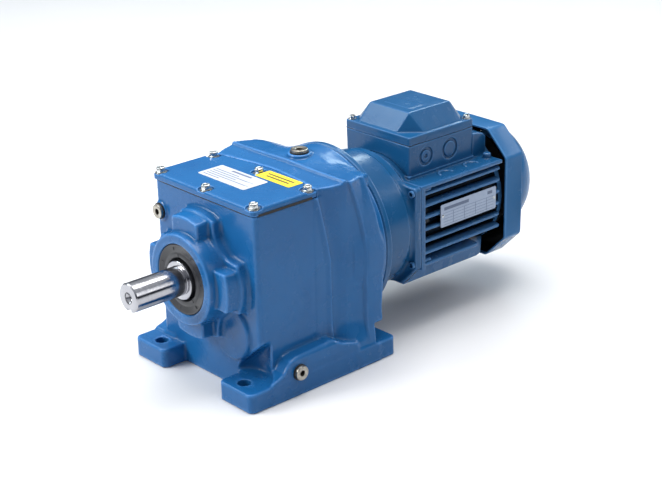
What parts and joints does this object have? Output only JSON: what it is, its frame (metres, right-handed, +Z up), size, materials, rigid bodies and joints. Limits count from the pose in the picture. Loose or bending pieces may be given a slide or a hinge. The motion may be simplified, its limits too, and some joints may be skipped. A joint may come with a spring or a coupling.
{
  "type": "inline gear reducer",
  "caption": "Foot-mounted in-line helical gear reducer with a keyed round output shaft, driven by a flanged finned motor with a terminal box on top.",
  "frame": {"origin": "on the underside of the feet, below the output shaft's axis and midway between the front and rear foot holes", "axes": "+X towards the drain plug's side, +Y from the output shaft towards the motor's fan cowl, +Z up"},
  "size_m": [0.1962, 0.5204, 0.2274],
  "materials": {
    "gearbox_paint": "gloss blue enamel over cast iron",
    "motor_paint": "gloss blue enamel, a shade deeper, over cast aluminium and sheet steel",
    "ground_steel": "ground and bright",
    "gear_steel": "hardened, satin",
    "bearing_steel": "polished bearing steel",
    "zinc": "bright zinc plating",
    "nickel": "nickel plating, slightly warm",
    "seal_rubber": "moulded, matt",
    "gasket": "matt black",
    "label_white": "printed film",
    "label_yellow": "printed film",
    "plate": "anodised, satin",
    "lamination": "stacked steel sheet",
    "copper": "varnished copper wire",
    "plastic": "moulded"
  },
  "bodies": {
    "casing": {"gearbox_housing": "gearbox_paint", "inspection_cover": "gearbox_paint", "motor_adapter_flange": "gearbox_paint", "cover_gasket": "gasket", "breather_plug_seal_ring": "gasket", "level_plug_seal_ring": "gasket", "drain_plug_seal_ring": "gasket", "terminal_box_gasket": "gasket", "cover_bolt_front_left": "zinc", "cover_bolt_front_middle": "zinc", "cover_bolt_front_right": "zinc", "cover_bolt_rear_left": "zinc", "cover_bolt_rear_middle": "zinc", "cover_bolt_rear_right": "zinc", "shield_screw_upper_left": "motor_paint", "shield_screw_upper_right": "motor_paint", "shield_screw_lower_left": "motor_paint", "shield_screw_lower_right": "motor_paint", "cover_data_label": "label_white", "cover_caution_label": "label_yellow", "level_plug": "nickel", "drain_plug": "nickel", "breather_plug": "nickel", "output_front_bearing_outer_ring": "bearing_steel", "output_rear_bearing_outer_ring": "bearing_steel", "layshaft_front_bearing_outer_ring": "bearing_steel", "layshaft_rear_bearing_outer_ring": "bearing_steel", "motor_drive_bearing_outer_ring": "bearing_steel", "motor_fan_bearing_outer_ring": "bearing_steel", "front_bearing_circlip": "gear_steel", "output_shaft_seal": "seal_rubber", "input_shaft_seal": "seal_rubber", "drive_end_shield": "motor_paint", "stator_frame": "motor_paint", "fan_end_shield": "motor_paint", "fan_cowl": "motor_paint", "terminal_box": "motor_paint", "terminal_box_lid": "motor_paint", "stator_core": "lamination", "winding_head_drive_end": "copper", "winding_head_fan_end": "copper", "terminal_block": "plastic", "motor_nameplate": "plate"},
    "output_group": {"output_shaft": "ground_steel", "output_wheel": "gear_steel", "output_wheel_key": "gear_steel", "output_front_bearing_inner_ring": "bearing_steel", "output_front_bearing_ball_cage": "bearing_steel", "output_rear_bearing_inner_ring": "bearing_steel"},
    "layshaft_group": {"layshaft": "gear_steel", "layshaft_gear": "gear_steel", "layshaft_gear_key": "gear_steel", "layshaft_front_bearing_inner_ring": "bearing_steel", "layshaft_rear_bearing_inner_ring": "bearing_steel"},
    "rotor_group": {"motor_shaft": "ground_steel", "motor_pinion": "gear_steel", "rotor_cage_core": "lamination", "motor_drive_bearing_inner_ring": "bearing_steel", "motor_fan_bearing_inner_ring": "bearing_steel", "cooling_fan": "plastic"}
  },
  "joints": [
    {"name": "rotor_spin", "type": "hinge", "parent": "casing", "child": "rotor_group", "pos_m": [0, 0, 0.115], "axis": [0, 1, 0], "continuous": true},
    {"name": "layshaft_spin", "type": "hinge", "parent": "casing", "child": "layshaft_group", "pos_m": [0.03497, 0, 0.05903], "axis": [0, 1, 0], "continuous": true},
    {"name": "output_spin", "type": "hinge", "parent": "casing", "child": "output_group", "pos_m": [0, 0, 0.115], "axis": [0, 1, 0], "continuous": true}
  ],
  "couplings": [
    {"joint": "layshaft_spin", "follows": "rotor_spin", "ratio": -0.57143},
    {"joint": "output_spin", "follows": "rotor_spin", "ratio": 0.19825}
  ]
}
